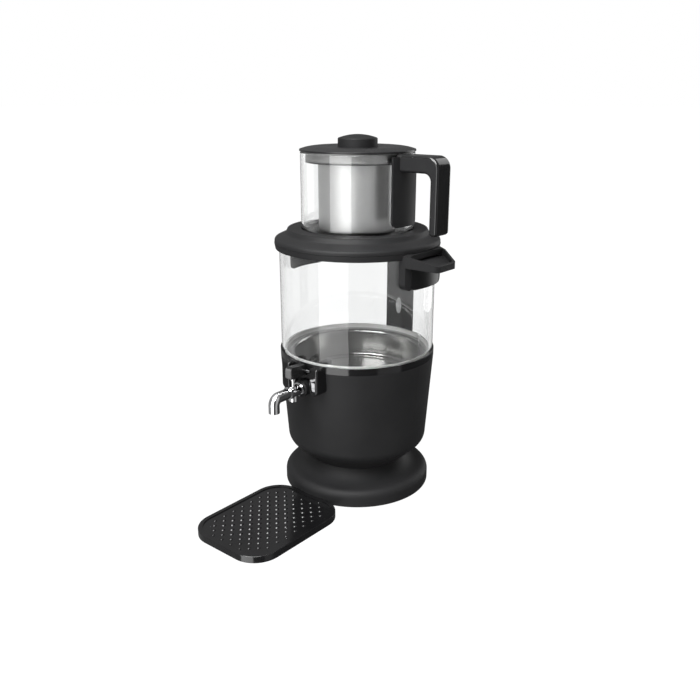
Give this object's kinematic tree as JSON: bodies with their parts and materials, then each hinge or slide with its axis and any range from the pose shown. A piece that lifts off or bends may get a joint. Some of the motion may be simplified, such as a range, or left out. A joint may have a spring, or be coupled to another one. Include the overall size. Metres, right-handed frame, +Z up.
{
  "type": "electric samovar",
  "caption": "Electric samovar with a clear glass water tank on a tapered black body, push-lever tap, glass teapot with steel infuser on the lid, and a studded drip tray.",
  "frame": {"origin": "on the worktop, on the vertical axis of the body", "axes": "+Z up; the tap and the drip tray point to -Y; the filling spout and the teapot handle to +X"},
  "size_m": [0.2148, 0.3188, 0.4094],
  "materials": {
    "pedestal_base": "satin",
    "base_plate": "satin",
    "rubber_feet": "matte",
    "base_screws": "satin",
    "neck_screws": "satin",
    "lower_housing": "satin",
    "trim_ring": "gloss",
    "steel_bowl": "brushed",
    "tank_gasket": "matte",
    "glass_tank": "clear",
    "glass_collar": "satin",
    "spout_insert": "gloss",
    "steam_baffle": "satin",
    "rear_spine": "satin",
    "tank_lid": "satin",
    "lid_seal": "matte",
    "seat_plate": "brushed",
    "teapot_glass": "clear",
    "teapot_handle": "satin",
    "handle_trim": "gloss",
    "infuser_basket": "brushed",
    "infuser_collar": "brushed",
    "infuser_seal": "matte",
    "teapot_lid": "gloss",
    "teapot_lid_gasket": "matte",
    "lid_knob": "satin",
    "knob_screw": "satin",
    "heater_plate": "cast",
    "heating_element": "satin",
    "thermostat": "satin",
    "thermal_fuse": "matte",
    "terminal_block": "matte",
    "wire_harness": "matte",
    "power_inlet": "satin",
    "inlet_pins": "satin",
    "tap_bracket": "gloss",
    "bracket_screws": "satin",
    "lever_pin": "polished",
    "tap_lever": "satin",
    "switch_rocker": "satin",
    "switch_pin": "satin",
    "tap_valve_body": "satin",
    "valve_stem": "polished",
    "valve_spring": "satin",
    "tap_outer_nut": "satin",
    "tap_rings": "polished",
    "tap_spout": "polished",
    "nozzle_insert": "satin",
    "tap_washer": "matte",
    "tap_lock_nut": "satin",
    "inlet_strainer": "brushed",
    "level_probe": "satin",
    "probe_pin": "polished",
    "drip_tray": "gloss"
  },
  "bodies": {
    "samovar_body": {"pedestal_base": "pedestal_base", "base_plate": "base_plate", "rubber_feet": "rubber_feet", "base_screws": "base_screws", "neck_screws": "neck_screws", "lower_housing": "lower_housing", "trim_ring": "trim_ring", "steel_bowl": "steel_bowl", "tank_gasket": "tank_gasket", "glass_tank": "glass_tank", "glass_collar": "glass_collar", "spout_insert": "spout_insert", "steam_baffle": "steam_baffle", "rear_spine": "rear_spine", "heater_plate": "heater_plate", "heating_element": "heating_element", "thermostat": "thermostat", "thermal_fuse": "thermal_fuse", "terminal_block": "terminal_block", "wire_harness": "wire_harness", "power_inlet": "power_inlet", "inlet_pins": "inlet_pins", "tap_bracket": "tap_bracket", "bracket_screws": "bracket_screws", "lever_pin": "lever_pin", "switch_pin": "switch_pin", "tap_valve_body": "tap_valve_body", "valve_spring": "valve_spring", "tap_outer_nut": "tap_outer_nut", "tap_rings": "tap_rings", "tap_spout": "tap_spout", "nozzle_insert": "nozzle_insert", "tap_washer": "tap_washer", "tap_lock_nut": "tap_lock_nut", "inlet_strainer": "inlet_strainer", "level_probe": "level_probe", "probe_pin": "probe_pin"},
    "tap_lever": {"tap_lever": "tap_lever"},
    "valve_stem": {"valve_stem": "valve_stem"},
    "switch_rocker": {"switch_rocker": "switch_rocker"},
    "tank_lid": {"tank_lid": "tank_lid", "lid_seal": "lid_seal", "seat_plate": "seat_plate"},
    "teapot": {"teapot_glass": "teapot_glass", "teapot_handle": "teapot_handle", "handle_trim": "handle_trim"},
    "infuser": {"infuser_basket": "infuser_basket", "infuser_collar": "infuser_collar", "infuser_seal": "infuser_seal"},
    "teapot_lid": {"teapot_lid": "teapot_lid", "teapot_lid_gasket": "teapot_lid_gasket", "lid_knob": "lid_knob", "knob_screw": "knob_screw"},
    "drip_tray": {"drip_tray": "drip_tray"}
  },
  "joints": [
    {"name": "lever_press", "type": "hinge", "parent": "samovar_body", "child": "tap_lever", "pos_m": [0, -0.097, 0.165], "axis": [1, 0, 0], "range_deg": [0, 11], "stiffness_Nm_per_rad": 0.25, "springref_deg": -11.46},
    {"name": "stem_travel", "type": "slide", "parent": "samovar_body", "child": "valve_stem", "axis": [0, 0, -1], "range_m": [0, 0.0028], "deforming": ["valve_spring"]},
    {"name": "rocker_tip", "type": "hinge", "parent": "samovar_body", "child": "switch_rocker", "pos_m": [0.0203, -0.0981, 0.1495], "axis": [-1, 0, 0], "range_deg": [0, 14]},
    {"name": "tank_lid_lift", "type": "slide", "parent": "samovar_body", "child": "tank_lid", "axis": [0, 0, 1], "range_m": [0, 0.12]},
    {"name": "teapot_lift", "type": "slide", "parent": "tank_lid", "child": "teapot", "axis": [0, 0, 1], "range_m": [0, 0.1]},
    {"name": "infuser_lift", "type": "slide", "parent": "teapot", "child": "infuser", "axis": [0, 0, 1], "range_m": [0, 0.09]},
    {"name": "teapot_lid_lift", "type": "slide", "parent": "infuser", "child": "teapot_lid", "axis": [0, 0, 1], "range_m": [0, 0.08]},
    {"name": "tray_pull", "type": "slide", "parent": "samovar_body", "child": "drip_tray", "axis": [0, -1, 0], "range_m": [0, 0.12]}
  ],
  "couplings": [
    {"joint": "stem_travel", "follows": "lever_press", "m_per_rad": 0.013}
  ]
}
